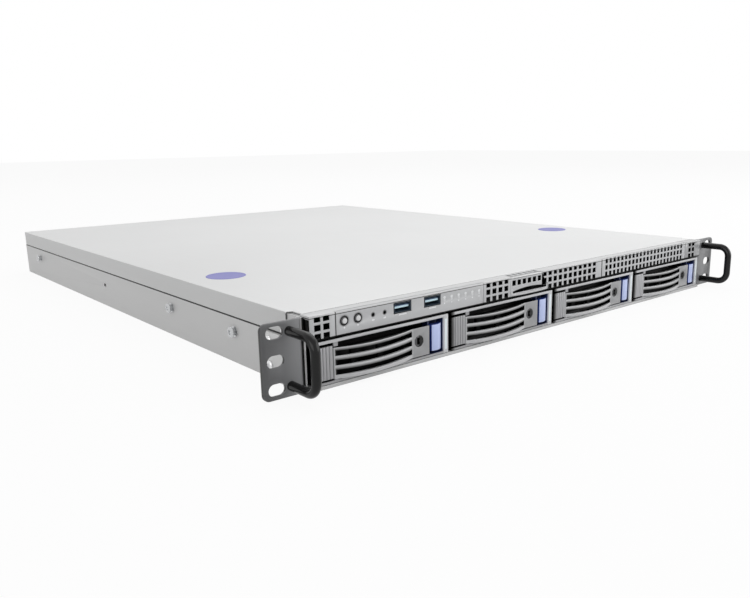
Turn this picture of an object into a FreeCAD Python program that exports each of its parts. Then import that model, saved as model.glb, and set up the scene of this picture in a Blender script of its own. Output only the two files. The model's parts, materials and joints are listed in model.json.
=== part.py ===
"""Rack server, one rack unit high, with four front drive trays and folded carrying handles.

Millimetres. X runs left to right seen from the front, Y from front to back, Z up. The model is laid out
with Y = 0 on the front face of the rack ears and Z = 0 under the floor, then moved back so that the
origin is under the middle of the whole object.
"""
import FreeCAD
import Part
import math
import os

# chassis
rack_width = 482.6
chassis_width = 430.0
chassis_height = 43.6
chassis_depth = 550.0
steel = 1.2
pan_front = 2.5
cover_steel = 1.0
running_gap = 0.3
fit_gap = 0.05
seam_height = 30.3
cover_front = 6.0
flange_front = 17.0
bezel_reach = 3.0
floor_hem = 2.2
rail_stud_height = 20.5
rail_stud_places = (78.6, 172.4, 498.4)
stud_stand = 2.4
pad_size = 28.0
pad_thick = 0.3
pad_sides = 16
pad_spread = 185.0
pad_back = 144.0

# rack ears and handles
ear_steel = 2.0
ear_height = 42.9
ear_flange = 42.0
ear_bend = 2.6
ear_corner = 4.0
slot_spacing = 465.1
slot_pitch = 15.875
slot_length = 10.6
slot_width = 7.0
handle_spread = 447.2
handle_pitch = 31.0
handle_rod = 5.5
handle_sides = 10
handle_reach = 27.4
handle_corner = 8.0
handle_screw = 6.2
ear_screw = 6.4

# front band above the trays
band_gap = 1.2
hole_pitch = 6.0
hole_width = 4.0
end_hole_width = 4.3
hole_height = 3.6
row_pitch = 5.05
row_rise = 7.2
grille_first = -207.2
grille_last = 194.4
control_left = -195.0
control_width = 120.0
bay_left = 59.3
bay_width = 127.0
bay_pitch = 5.4
bay_hole = 3.3
seam = 0.3
button_rise = 8.2
power_button_x = -189.0
reset_button_x = -179.3
button_hole = 5.6
button_cap = 4.3
button_sides = 12
pin_hole = 2.0
usb_width = 13.2
usb_height = 5.8
usb_depth = 14.0
usb_rise = 6.2
usb_places = (-145.5, -120.9)
pin_places = (-168.2, -159.5)
switch_front = 7.5
button_travel = 1.2
status_pitch = 6.3
status_left = -110.6
status_count = 6
status_rod = 2.0
tag_left = -47.2
tag_width = 33.4
tag_grip_width = 40.0
tag_grip_height = 4.9
tag_length = 72.0

# drive trays
tray_count = 4
tray_pitch = 105.8
tray_width = 102.4
tray_bottom = 2.6
tray_top = 27.9
drive_width = 101.6
drive_length = 147.0
drive_height = 25.4
drive_front = 14.0
rail_steel = 0.8
cage_steel = 1.0
foot_width = 3.0
guide_height = 8.0
flat_width = 12.2
door_width = 73.8
door_bulge = 5.4
door_wall = 1.8
bow_flats = 8
slot_zone = 59.0
slot_height = 3.2
bar_pitch = 5.6
top_bar = 1.8
web_thick = 1.0
door_top = 23.4
door_bottom = 4.3
hinge_pin = 2.0
pin_floor = 2.9
bar_thick = 1.7
lock_size = 7.2
lock_sides = 10
lock_from_left = 77.4
lock_height = 14.5
latch_left = 87.3
latch_room = 11.1
latch_width = 9.6
latch_height = 16.9

# inside
board_left = -205.0
board_width = 300.0
board_gap = 8.0
board_back_gap = 6.8
board_steel = 1.6
standoff_height = 5.0
riser_x = 84.0
riser_back_gap = 28.8
riser_length = 92.0
heatsink_setback = 78.0
hub_chip_from_back = 76.3
memory_setback = 18.0
memory_length = 133.4
fan_size = 40.0
fan_depth = 28.0
fan_count = 4
fan_pitch = 62.0
first_fan = -150.0
fan_gap = 20.0
fan_wall = 1.3
fan_hub = 17.0
fan_pin = 3.0
blade_count = 5
psu_width = 100.0
psu_height = 40.0
psu_length = 208.0
psu_right = 208.0
psu_steel = 1.0

# back
port_screw = 5.0
inlet_width = 24.0
inlet_height = 16.6
inlet_depth = 17.0
inlet_from_right = 24.0
supply_fan_from_left = 26.0
jack_width = 12.0
jack_height = 8.6

# worked out
half_width = chassis_width / 2
wall_inside = half_width - steel
upper_wall = half_width - cover_steel - running_gap
upper_top = chassis_height - cover_steel - 0.2
web_bottom = seam_height - running_gap - steel
upper_inside = upper_wall - steel
cage_top = tray_top + running_gap
shelf_top = cage_top + cage_steel
module_top = chassis_height - running_gap
drive_bottom = floor_hem + running_gap
drive_back = drive_front + drive_length
cage_back = drive_back + 5.0
band_bottom = tray_top + band_gap
middle_row = band_bottom + row_rise
usb_floor = shelf_top + usb_rise
button_height = shelf_top + button_rise
ear_middle = chassis_height / 2
rear_inside = chassis_depth - steel
board_top = steel + standoff_height + board_steel
fan_front = cage_back + fan_gap
fan_bore = fan_size - 2 * fan_wall
board_front = fan_front + fan_depth + board_gap
board_length = rear_inside - board_back_gap - board_front
memory_front = board_front + memory_setback
riser_back = rear_inside - riser_back_gap
riser_front = riser_back - riser_length
hub_chip = rear_inside - hub_chip_from_back
origin_back = (chassis_depth + port_screw - handle_reach) / 2
tray_middles = [(i - (tray_count - 1) / 2) * tray_pitch for i in range(tray_count)]
fan_middles = [first_fan + i * fan_pitch for i in range(fan_count)]
row_heights = [middle_row + row_pitch, middle_row, middle_row - row_pitch]
control_board_floor = usb_floor - board_steel
fan_low = steel + running_gap
supply_left = psu_right - psu_width
supply_fan = supply_left + supply_fan_from_left
inlet_middle = psu_right - inlet_from_right
supply_middle = steel + psu_height / 2


def vector(x, y, z):
    return FreeCAD.Vector(x, y, z)


def box(left, right, front, back, low, high):
    return Part.makeBox(right - left, back - front, high - low, vector(left, front, low))


def fuse(shapes):
    whole = shapes[0].multiFuse(shapes[1:]) if len(shapes) > 1 else shapes[0]
    return whole.removeSplitter()


def loop(points):
    return Part.makePolygon([*points, points[0]])


def rectangle(left, right, low, high, front):
    """Closed outline that stands across the depth, at the given front."""
    corners = ((left, low), (right, low), (right, high), (left, high))
    return loop([vector(x, front, z) for x, z in corners])


def pierced(outline, holes, thickness):
    """Plate between two fronts, its holes given as outlines on the same plane."""
    face = Part.makeFace([outline, *holes], "Part::FaceMakerBullseye")
    return face.extrude(vector(0, thickness, 0))


def mirrored(shape):
    return shape.mirror(vector(0, 0, 0), vector(1, 0, 0))


def many_sided(sides, radius, middle, along):
    """Closed outline with equal sides, square to a direction, its corners at the radius."""
    side = vector(0, 0, 1) if abs(along.z) < 0.5 * along.Length else vector(1, 0, 0)
    other = along.cross(side).normalize()
    points = []
    for i in range(sides):
        turn = 2 * math.pi * i / sides
        points.append(middle + side * (radius * math.cos(turn)) + other * (radius * math.sin(turn)))
    return loop(points)


def faceted(sides, radius, start, along):
    """Straight bar with the given number of flat sides."""
    return Part.Face(many_sided(sides, radius, start, along)).extrude(along)


def clear_radius(sides, radius):
    """Corner radius of a many-sided hole that a round of the given radius just turns in."""
    return radius / math.cos(math.pi / sides)


def write(name, *pieces):
    placed = [piece.copy() for piece in pieces]
    for piece in placed:
        piece.translate(vector(0, -origin_back, 0))
    shape = placed[0] if len(placed) == 1 else Part.makeCompound(placed)
    shape.exportStep(os.path.join("parts", name + ".step"))


def hole_grid(first, count, pitch, width, rows, front, height=hole_height):
    """Outlines of rows of rectangular holes."""
    grid = []
    for column in range(count):
        middle = first + column * pitch
        for row in rows:
            grid.append(
                rectangle(middle - width / 2, middle + width / 2, row - height / 2, row + height / 2, front)
            )
    return grid


# ---- chassis and cover ----

def folded_pan():
    """Floor and both side walls, the walls stepped in where the cover's flange laps them."""
    step = seam_height - running_gap
    right = [
        (half_width, 0),
        (half_width, step),
        (upper_wall, step),
        (upper_wall, upper_top),
        (upper_inside, upper_top),
        (upper_inside, web_bottom),
        (wall_inside, web_bottom),
        (wall_inside, steel),
    ]
    left = [(-x, z) for x, z in reversed(right)]
    outline = loop([vector(x, pan_front, z) for x, z in right + left])
    return Part.Face(outline).extrude(vector(0, rear_inside - pan_front, 0))


def rear_wall():
    """Back plate with its vents and the cut-outs for the ports, the card slot and the supply."""
    holes = [rectangle(*place, rear_inside) for place in port_places().values()]
    holes.append(rectangle(*card_slot(), rear_inside))
    holes.append(rectangle(*supply_window(), rear_inside))
    holes += hole_grid(-190, 7, 18.0, 14.0, (29.0, 36.0), rear_inside, 4.0)
    holes += hole_grid(-30, 5, 22.0, 17.0, (11.0,), rear_inside, 4.0)
    outline = rectangle(-half_width, half_width, 0, upper_top, rear_inside)
    wall = pierced(outline, holes, steel)
    corners = box(upper_wall, half_width, rear_inside, chassis_depth, seam_height - running_gap, upper_top)
    return wall.cut(corners).cut(mirrored(corners))


def port_places():
    """Cut-out of each port: left, right, low, high."""
    floor = board_top - running_gap
    return {
        "serial": (-203, -171.4, floor, floor + 13),
        "video": (-169, -137.4, floor, floor + 13),
        "network": (-132, -100.4, floor, floor + 13.7),
        "usb": (-92, -77.4, floor, floor + 15.9),
    }


def card_slot():
    return -38, 76, 20.0, 34.0


def supply_window():
    margin = 3.0
    return psu_right - psu_width + margin, psu_right - margin, steel + margin, steel + psu_height - margin


def chassis_pan():
    hem = box(-wall_inside, wall_inside, -bezel_reach, 6, 0, floor_hem)
    shape = fuse([folded_pan(), rear_wall(), hem])
    slot = box(wall_inside - 1, half_width + 1, 306.5, 311.5, 16.8, 19.4)
    return shape.cut(slot).cut(mirrored(slot))


def rail_studs():
    """Shouldered studs, riveted to the side walls, that the slide rails hang on."""
    studs = []
    for side in (-1, 1):
        for y in rail_stud_places:
            wall = vector(side * half_width, y, rail_stud_height)
            out = vector(side, 0, 0)
            neck = faceted(6, 2.7, wall, out * stud_stand)
            head = faceted(8, 4.2, wall + out * stud_stand, out * 1.2)
            studs.append(fuse([neck, head]))
    return studs


def top_cover():
    """Lid with short side flanges and a clipped front corner each side."""
    underside = chassis_height - cover_steel
    plate = box(-half_width, half_width, cover_front, chassis_depth, underside, chassis_height)
    flange = box(
        half_width - cover_steel, half_width, flange_front, chassis_depth - 1,
        seam_height, chassis_height - cover_steel,
    )
    corner = Part.Face(loop([
        vector(half_width + 1, cover_front - 1, chassis_height - 2 * cover_steel),
        vector(half_width + 1, flange_front, chassis_height - 2 * cover_steel),
        vector(half_width - 4, flange_front - 2, chassis_height - 2 * cover_steel),
        vector(half_width - 4, cover_front - 1, chassis_height - 2 * cover_steel),
    ])).extrude(vector(0, 0, 3 * cover_steel))
    shape = fuse([plate, flange, mirrored(flange)])
    shape = shape.cut(corner).cut(mirrored(corner))
    fold = [e for e in shape.Edges if is_long_fold(e)]
    return shape.makeFillet(cover_steel * 0.8, fold)


def is_long_fold(edge):
    """The outer top edge along each side of the cover."""
    middle = edge.CenterOfMass
    on_top = abs(middle.z - chassis_height) < 0.01
    on_side = abs(abs(middle.x) - half_width) < 0.01
    return on_top and on_side and edge.Length > chassis_depth / 2


def pad_middles():
    return [vector(side * pad_spread, pad_back, chassis_height) for side in (-1, 1)]


def cover_pads():
    """Thin round press pads stuck on the cover."""
    return [faceted(pad_sides, pad_size / 2, middle, vector(0, 0, pad_thick)) for middle in pad_middles()]


# ---- ears and handles ----

def obround(middle, length, width):
    """Outline of a slot along X with round ends."""
    left = middle - vector((length - width) / 2, 0, 0)
    right = middle + vector((length - width) / 2, 0, 0)
    tip = vector(width / 2, 0, 0)
    up = vector(0, 0, width / 2)
    return Part.Wire([
        Part.LineSegment(left - up, right - up).toShape(),
        Part.Arc(right - up, right + tip, right + up).toShape(),
        Part.LineSegment(right + up, left + up).toShape(),
        Part.Arc(left + up, left - tip, left - up).toShape(),
    ])


def ear(side):
    """Angle bracket: slotted plate across the front, a rounded bend and a flange back along the wall."""
    low = ear_middle - ear_height / 2
    inner = half_width
    outer = rack_width / 2
    plate = box(inner, outer, 0, ear_steel, low, low + ear_height)
    flange = box(inner, inner + ear_steel, 0, ear_flange, low, low + ear_height)
    shape = fuse([plate, flange])
    edges = shape.Edges
    corners = [e for e in edges if abs(e.CenterOfMass.x - outer) < 0.01 and abs(e.Length - ear_steel) < 0.01]
    shape = shape.makeFillet(ear_corner, corners)
    bend = [e for e in shape.Edges if abs(e.CenterOfMass.x - inner) < 0.01 and abs(e.CenterOfMass.y) < 0.01]
    shape = shape.makeFillet(ear_bend, bend)
    relief = box(
        inner - 1, inner + ear_steel + 1, ear_bend + 1, ear_flange + 1, seam_height - 1, low + ear_height + 1
    )
    shape = shape.cut(relief)
    for step in (-1, 0, 1):
        middle = vector(slot_spacing / 2, -1, ear_middle + step * slot_pitch)
        slot = Part.Face(obround(middle, slot_length, slot_width)).extrude(vector(0, ear_steel + 2, 0))
        shape = shape.cut(slot)
    return shape if side > 0 else mirrored(shape)


def handle_heights():
    return ear_middle - handle_pitch / 2, ear_middle + handle_pitch / 2


def handle(side):
    """Bar bent into a U in short mitred steps, its feet square on the ear."""
    x = side * handle_spread / 2
    low, high = handle_heights()
    front = handle_rod / 2 - handle_reach
    steps = handle_bend_points()
    lower = [vector(x, front + y, low + z) for y, z in steps]
    upper = [vector(x, front + y, high - z) for y, z in reversed(steps)]
    path = Part.makePolygon([vector(x, 0, low), *lower, *upper, vector(x, 0, high)])
    outline = many_sided(handle_sides, handle_rod / 2, vector(x, 0, low), vector(0, 1, 0))
    return path.makePipeShell([outline], True, False, 1)


def handle_bend_points():
    """Corners of the short straight steps round one bend, as distances back and up from its outer corner."""
    half_turn = math.radians(15)
    reach = handle_corner / math.cos(half_turn)
    points = []
    for turn in (15, 45, 75):
        angle = math.radians(turn)
        points.append((handle_corner - reach * math.sin(angle), handle_corner - reach * math.cos(angle)))
    return points


def handle_screws():
    """Hexagon heads behind the ears, two for each handle."""
    return [
        faceted(6, handle_screw / 2, vector(side * handle_spread / 2, ear_steel, z), vector(0, 2.8, 0))
        for side in (-1, 1) for z in handle_heights()
    ]


def ear_screws():
    """Low hexagon heads that hold each ear's flange to the wall."""
    return [
        faceted(6, ear_screw / 2, vector(side * (half_width + ear_steel), y, z), vector(side * 1.4, 0, 0))
        for side in (-1, 1) for y in (16.0, 33.0) for z in (9.0, 24.0)
    ]


# ---- front band ----

def front_grille():
    """Fixed front frame: pierced blocks beside and between the modules, joined by the top flange."""
    front = -bezel_reach
    top = chassis_height - 0.1
    right = upper_inside - 0.1
    rows = row_heights
    control_right = control_left + control_width
    bay_right = bay_left + bay_width
    left_block = pierced(
        rectangle(-right, control_left - seam, band_bottom, top, front),
        hole_grid(grille_first, 2, hole_pitch, end_hole_width, rows, front), steel,
    )
    middle_left = pierced(
        rectangle(control_right + seam, tag_left - seam, band_bottom, top, front),
        hole_grid(-70.0, 4, hole_pitch, hole_width, rows, front), steel,
    )
    tag_right = tag_left + tag_width
    first = tag_right + 3.3
    middle_right = pierced(
        rectangle(tag_right + seam, bay_left - seam, band_bottom, top, front),
        hole_grid(first, 11, hole_pitch, hole_width, rows[:2], front)
        + hole_grid(first + hole_pitch, 10, hole_pitch, hole_width, rows[2:], front), steel,
    )
    grip_room = box(
        tag_right - 1, tag_left + tag_grip_width + seam, front - 1, front + steel + 1,
        band_bottom - 1, band_bottom + tag_grip_height + seam,
    )
    right_block = pierced(
        rectangle(bay_right + seam, right, band_bottom, top, front),
        hole_grid(grille_last, 2, hole_pitch, end_hole_width, rows, front), steel,
    )
    flange = box(-right, right, front, cover_front - running_gap, top - cover_steel, top)
    for start, end in ((control_left, control_right), (tag_left, tag_right), (bay_left, bay_right)):
        flange = flange.cut(box(start - seam, end + seam, front - 1, front + steel + 0.6, top - 3, top + 1))
    for column in range(6):
        middle = tag_left + 3.2 + column * 5.45
        flange = flange.cut(box(middle - 1.7, middle + 1.7, -0.6, 4.2, top - 3, top + 1))
    side = box(right - steel, right, front, 24, seam_height, top - cover_steel + 0.1)
    return fuse([
        left_block, middle_left, middle_right.cut(grip_room), right_block, flange, side, mirrored(side),
    ])


def six_sided(x, z, across, front):
    return many_sided(6, across / math.sqrt(3), vector(x, front, z), vector(0, 1, 0))


def control_panel():
    """Module front with its button, socket and light holes, and the shelf its board stands on."""
    front = -bezel_reach
    right = control_left + control_width
    holes = []
    for x in (power_button_x, reset_button_x):
        radius = clear_radius(button_sides, button_hole / 2)
        holes.append(many_sided(button_sides, radius, vector(x, front, button_height), vector(0, 1, 0)))
    holes += [six_sided(x, button_height, pin_hole, front) for x in pin_places]
    for x in usb_places:
        margin = 0.5
        holes.append(rectangle(
            x - usb_width / 2 - margin, x + usb_width / 2 + margin,
            usb_floor - margin, usb_floor + usb_height + margin, front,
        ))
    holes += [six_sided(x, button_height, status_rod + 2 * fit_gap, front) for x in status_places()]
    face = pierced(rectangle(control_left, right, shelf_top, module_top, front), holes, steel + 0.3)
    shelf = box(control_left + 1, right - 1, front + steel, 44, shelf_top, shelf_top + 0.8)
    bosses = []
    for x in (control_left + 6, right - 6):
        for y in (8, 38):
            bosses.append(box(x - 2, x + 2, y - 2, y + 2, shelf_top + 0.5, control_board_floor))
    return fuse([face, shelf, *bosses])


def status_places():
    return [status_left + i * status_pitch for i in range(status_count)]


def control_board():
    """Small board behind the front with its two push switches."""
    left = control_left + 2
    board = box(left, control_left + control_width - 2, 1.5, 42, control_board_floor, usb_floor)
    switches = []
    for x in (power_button_x, reset_button_x):
        switches.append(box(x - 3, x + 3, switch_front, switch_front + 5, usb_floor, usb_floor + 4.5))
    return fuse([board, *switches])


def push_button(x):
    """Cap with a bevelled rim, a collar behind the panel and a square stem to the switch."""
    collar_front = -bezel_reach + steel + 0.3 + running_gap
    cap_front = -bezel_reach - 0.6
    middle = vector(x, cap_front, button_height)
    cap = faceted(button_sides, button_cap / 2, middle, vector(0, collar_front - cap_front, 0))
    cap = cap.makeChamfer(0.6, [e for e in cap.Edges if abs(e.CenterOfMass.y - cap_front) < 0.01])
    collar = box(x - 3.3, x + 3.3, collar_front, collar_front + 0.8, button_height - 1.8, button_height + 3.3)
    stem_end = switch_front - button_travel - running_gap
    stem = box(x - 1, x + 1, collar_front, stem_end, button_height - 1, button_height + 1)
    return fuse([cap, collar, stem])


def usb_shells():
    shells = []
    for x in usb_places:
        outer = box(
            x - usb_width / 2, x + usb_width / 2, -bezel_reach, usb_depth - bezel_reach,
            usb_floor, usb_floor + usb_height,
        )
        wall = 0.4
        half = usb_width / 2 - wall
        room = box(
            x - half, x + half, -bezel_reach - 1, usb_depth - bezel_reach - 1.5,
            usb_floor + wall, usb_floor + usb_height - wall,
        )
        shells.append(outer.cut(room))
    return shells


def usb_tongues():
    """Blue contact tongue of each socket, seated on the shell's back wall."""
    tongues = []
    for x in usb_places:
        back = usb_depth - bezel_reach - 1.5
        middle = usb_floor + usb_height * 0.6
        tongues.append(box(x - 5.6, x + 5.6, -bezel_reach + 1.2, back, middle - 0.95, middle + 0.95))
    return tongues


def status_lights():
    """Straight light pipes through the panel."""
    along = vector(0, bezel_reach + 6, 0)
    return [
        Part.Face(six_sided(x, button_height, status_rod, -bezel_reach)).extrude(along)
        for x in status_places()
    ]


def bay_panel():
    """Blank for the slim drive bay: pierced front with a foot that lies on the shelf."""
    front = -bezel_reach
    left = bay_left + seam
    right = bay_left + bay_width - seam
    holes = hole_grid(66.0, 22, bay_pitch, bay_hole, row_heights, front)
    face = pierced(rectangle(left, right, shelf_top, module_top, front), holes, steel)
    foot = box(left, right, front, 12, shelf_top, shelf_top + 0.5)
    return fuse([face, foot])


def pull_tag():
    """Information tag: a thin tongue on the shelf behind a pierced front with an arched finger scoop."""
    front = -bezel_reach
    low = shelf_top + running_gap
    grip_top = band_bottom + tag_grip_height
    right = tag_left + tag_width
    grip_right = tag_left + tag_grip_width
    outline = loop([
        vector(tag_left, front, low),
        vector(grip_right, front, low),
        vector(grip_right, front, grip_top),
        vector(right, front, grip_top),
        vector(right, front, module_top),
        vector(tag_left, front, module_top),
    ])
    holes = hole_grid(tag_left + 3.2, 6, 5.45, 3.7, [38.9], front, 3.7)
    face = pierced(outline, holes, steel)
    scoop = arched_bar(tag_left + 2.0, grip_right - 1.5, 31.7, 33.0, 1.6, front - 1, steel + 3)
    tongue = box(tag_left + 1, right - 1, front, tag_length, low, low + 1.0)
    lip = arched_bar(tag_left, grip_right, low, low + 1.7, 0, front - 1.2, 1.6)
    bowed = Part.makeCylinder(150, 4, vector((tag_left + grip_right) / 2, front - 1.3 + 150, low - 1))
    return fuse([face.cut(scoop), tongue, lip.common(bowed)])


def arched_bar(left, right, low, high, rise, front, depth):
    """Bar across the front whose upper edge rises to an arch in the middle."""
    middle = (left + right) / 2
    top = Part.makeLine(vector(right, front, high), vector(left, front, high))
    if rise:
        top = Part.Arc(
            vector(right, front, high), vector(middle, front, high + rise), vector(left, front, high)
        ).toShape()
    edges = [
        Part.makeLine(vector(left, front, high), vector(left, front, low)),
        Part.makeLine(vector(left, front, low), vector(right, front, low)),
        Part.makeLine(vector(right, front, low), vector(right, front, high)),
        top,
    ]
    return Part.Face(Part.Wire(Part.__sortEdges__(edges))).extrude(vector(0, depth, 0))


# ---- drive cage and trays ----

def drive_cage():
    """Shelf over the drives on sheet walls, each wall with a folded foot that carries the tray rails."""
    right = upper_inside - 0.1
    pieces = [box(-right, right, 0.5, cage_back, cage_top, shelf_top)]
    for i in range(1, tray_count):
        middle = (i - tray_count / 2) * tray_pitch
        pieces.append(cage_wall(middle, 1.5))
        foot = cage_steel / 2 + foot_width
        pieces.append(box(middle - foot, middle + foot, 6.5, cage_back, steel, floor_hem))
    inner = tray_count / 2 * tray_pitch - cage_steel / 2
    side = fuse([
        box(right - cage_steel, right, 3.0, cage_back, floor_hem, cage_top),
        box(inner - foot_width, right, 6.5, cage_back, steel, floor_hem),
        box(inner, inner + cage_steel, 6.5, cage_back, floor_hem, guide_height),
    ])
    return fuse([*pieces, side, mirrored(side)])


def cage_wall(middle, front):
    return box(middle - cage_steel / 2, middle + cage_steel / 2, front, cage_back, floor_hem, cage_top)


def ribbed_flat(left):
    """Fixed grip beside the door, with fine upright grooves."""
    block = box(left, left + flat_width, -bezel_reach, 4, 5.2, 24.4)
    for i in range(4):
        x = left + 3.0 + i * 2.2
        block = block.cut(box(x, x + 0.5, -bezel_reach - 1, -bezel_reach + 0.4, 4, 26))
    return block


def tray_frame(left):
    """Open front frame of a tray, from its left edge, before the door and latch go in."""
    front = -bezel_reach
    right = left + tray_width
    top_bar = box(left, right, front, 4, tray_top - bar_thick, tray_top)
    bottom_bar = box(left, right, front, 4, tray_bottom, 3.9)
    right_bar = box(left + latch_left + latch_room, right, front, 4, tray_bottom, tray_top)
    latch_cheek = box(left + latch_left - 1.0, left + latch_left, -1.0, 4, 3.9, tray_top - bar_thick)
    return [top_bar, bottom_bar, right_bar, latch_cheek, ribbed_flat(left)]


def tray_carrier(middle):
    """Front frame, pierced bulkhead behind the door and the two rails that hold the drive."""
    left = middle - tray_width / 2
    half = drive_width / 2
    rail_out = half + rail_steel
    windows = hole_grid(left + 22, 3, 20.0, 16.0, (14.0,), 4, 14.0)
    stem_hole = rectangle(*latch_stem(left, 0.2), 4)
    bulkhead = pierced(
        rectangle(middle - rail_out, middle + rail_out, tray_bottom, tray_top, 4), [*windows, stem_hole], 2
    )
    rail = box(half, rail_out, 4, drive_back - 1, drive_bottom, 20)
    rail_left = rail.copy()
    rail_left.translate(vector(middle - half - rail_out, 0, 0))
    rail.translate(vector(middle, 0, 0))
    x, y = hinge_place(left)
    half_bore = hinge_pin / 2 + fit_gap
    bore_top = tray_top - bar_thick - 0.1
    bore = box(x - half_bore, x + half_bore, y - half_bore, y + half_bore, pin_floor, bore_top)
    return fuse([*tray_frame(left), bulkhead, rail, rail_left, *hinge_lugs(left)]).cut(bore)


def latch_stem(left, margin):
    """Outline of the latch's guide stem: left, right, low, high."""
    middle = left + latch_left + latch_room / 2
    return middle - 3 - margin, middle + 3 + margin, 9 - margin, 20 + margin


def hinge_place(left):
    return left + flat_width + 2.4, -bezel_reach + 1.6


def hinge_lugs(left):
    """Blocks above and below the door's knuckle."""
    x, y = hinge_place(left)
    heights = ((door_top + running_gap, tray_top - bar_thick), (tray_bottom + 1.0, door_bottom))
    return [box(x - 1.5, x + 1.5, y - 1.4, 4.5, low, high) for low, high in heights]


def bow_line(left):
    """Front of the bowed part of a door, in short flats from its hinge end to the lock's flat."""
    start = left + flat_width + 1.1
    end = left + flat_width + slot_zone
    crown = (start + end) / 2 - 3
    points = []
    for i in range(bow_flats + 1):
        x = start + (end - start) * i / bow_flats
        reach = crown - start if x < crown else end - crown
        bulge = door_bulge * (1 - ((x - crown) / reach) ** 2)
        points.append(vector(x, -bezel_reach - bulge, 0))
    return points


def door_plan(left):
    """Plan outline of the lever door: the bow over the slots, then a flat with the lock."""
    front = -bezel_reach
    start = left + flat_width + 0.6
    end = left + flat_width + door_width
    bow = bow_line(left)
    back = front + door_wall
    inner = [point + vector(0, door_wall, 0) for point in reversed(bow[1:-1:2])]
    return Part.Face(loop([
        vector(start, back, 0), vector(start, front + 0.7, 0), *bow,
        vector(end, front, 0), vector(end, back, 0), vector(bow[-1].x - 0.6, back, 0),
        *inner, vector(start + 1.7, back, 0),
    ]))


def door_web(left, low):
    """Thin web that closes the bow across its top or bottom."""
    bow = bow_line(left)
    back = [vector(bow[-1].x, -bezel_reach + 1, 0), vector(bow[0].x, -bezel_reach + 1, 0)]
    web = Part.Face(loop([*bow, *back])).extrude(vector(0, 0, web_thick))
    web.translate(vector(0, 0, low))
    return web


def lever_door(middle):
    """Bowed, louvred lever that closes the tray: three slots between bars, lock boss at the right."""
    left = middle - tray_width / 2
    x, y = hinge_place(left)
    low = door_bottom + running_gap
    high = door_top - running_gap
    skin = door_plan(left).extrude(vector(0, 0, high - low))
    skin.translate(vector(0, 0, low))
    slot_left = left + flat_width + 1.9
    slot_right = left + flat_width + slot_zone + 0.3
    for i in range(3):
        slot_high = high - top_bar - i * bar_pitch
        skin = skin.cut(box(slot_left, slot_right, -20, 0, slot_high - slot_height, slot_high))
    webs = [door_web(left, low), door_web(left, high - web_thick)]
    knuckle = box(x - 1.3, x + 1.3, y - 1, y + 1.3, low, high)
    pin = faceted(
        12, hinge_pin / 2, vector(x, y, pin_floor + 0.2),
        vector(0, 0, tray_top - bar_thick - running_gap - pin_floor - 0.2),
    )
    lock_x = left + lock_from_left
    reach = lock_size / 2 + 1.0
    boss = box(lock_x - reach, lock_x + reach, -bezel_reach, 1.0, lock_height - reach, lock_height + reach)
    bore = faceted(
        lock_sides, clear_radius(lock_sides, lock_size / 2 + fit_gap),
        vector(lock_x, -bezel_reach - 1, lock_height), vector(0, 3 + bezel_reach, 0),
    )
    return fuse([skin, *webs, knuckle, pin, boss]).cut(bore)


def lock_core(middle):
    """Lock plug with a key slot, turned a quarter to free the lever."""
    x = middle - tray_width / 2 + lock_from_left
    z = lock_height
    plug = faceted(lock_sides, lock_size / 2, vector(x, -bezel_reach + 0.3, z), vector(0, bezel_reach + 1, 0))
    slot = box(x - 1.5, x + 0.9, -bezel_reach - 1, -bezel_reach + 2.6, z - 2.2, z + 2.2)
    cam = box(x - 1.6, x + 1.6, 1.0, 2.2, z - 3.4, z + 3.4)
    return fuse([plug.cut(slot), cam])


def tray_latch(middle):
    """Tall press button with a rounded face, guided by the stem behind it."""
    left = middle - tray_width / 2
    button_middle = left + latch_left + latch_room / 2
    low = lock_height - latch_height / 2
    half = latch_width / 2
    front = -bezel_reach - 0.7
    plan = [
        Part.Arc(
            vector(button_middle - half, front + 0.7, low), vector(button_middle - 1.2, front, low),
            vector(button_middle + half, front + 2.6, low),
        ).toShape(),
        Part.makeLine(vector(button_middle + half, front + 2.6, low), vector(button_middle + half, 0.4, low)),
        Part.makeLine(vector(button_middle + half, 0.4, low), vector(button_middle - half, 0.4, low)),
        Part.makeLine(vector(button_middle - half, 0.4, low), vector(button_middle - half, front + 0.7, low)),
    ]
    cap = Part.Face(Part.Wire(plan)).extrude(vector(0, 0, latch_height))
    stem_left, stem_right, stem_low, stem_high = latch_stem(left, 0)
    stem = box(stem_left, stem_right, 0, 7.5, stem_low, stem_high)
    return fuse([cap, stem])


def hard_drive(middle):
    """Drive with a stepped lid over its casting and the connector notch at the back."""
    half = drive_width / 2
    casting = box(middle - half, middle + half, drive_front, drive_back, drive_bottom, drive_bottom + 21)
    lid = box(middle - half + 2, middle + half - 2, drive_front + 2, drive_back - 2, drive_bottom + 20.5,
              drive_bottom + drive_height)
    lid_edges = [e for e in lid.Edges if abs(e.Length - (drive_height - 20.5)) < 0.01]
    lid = lid.makeChamfer(5.0, lid_edges)
    body = fuse([casting, lid])
    notch = box(middle - 20, middle + 20, drive_back - 6, drive_back + 1, drive_bottom - 1, drive_bottom + 5)
    return body.cut(notch)


def drive_backplane():
    """Board across the back of the cage, cut away below for air."""
    right = upper_inside - 0.5
    board = box(-right, right, cage_back, cage_back + board_steel, floor_hem, shelf_top)
    for middle in tray_middles:
        board = board.cut(box(middle - 40, middle + 40, cage_back - 1, cage_back + 3, 14, 24))
    return board


def drive_connectors():
    sockets = []
    for middle in tray_middles:
        front = drive_back - 5
        low = drive_bottom + 0.5
        sockets.append(box(middle - 18, middle + 18, front, cage_back, low, low + 4))
    return sockets


# ---- fans, boards and supply ----

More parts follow.
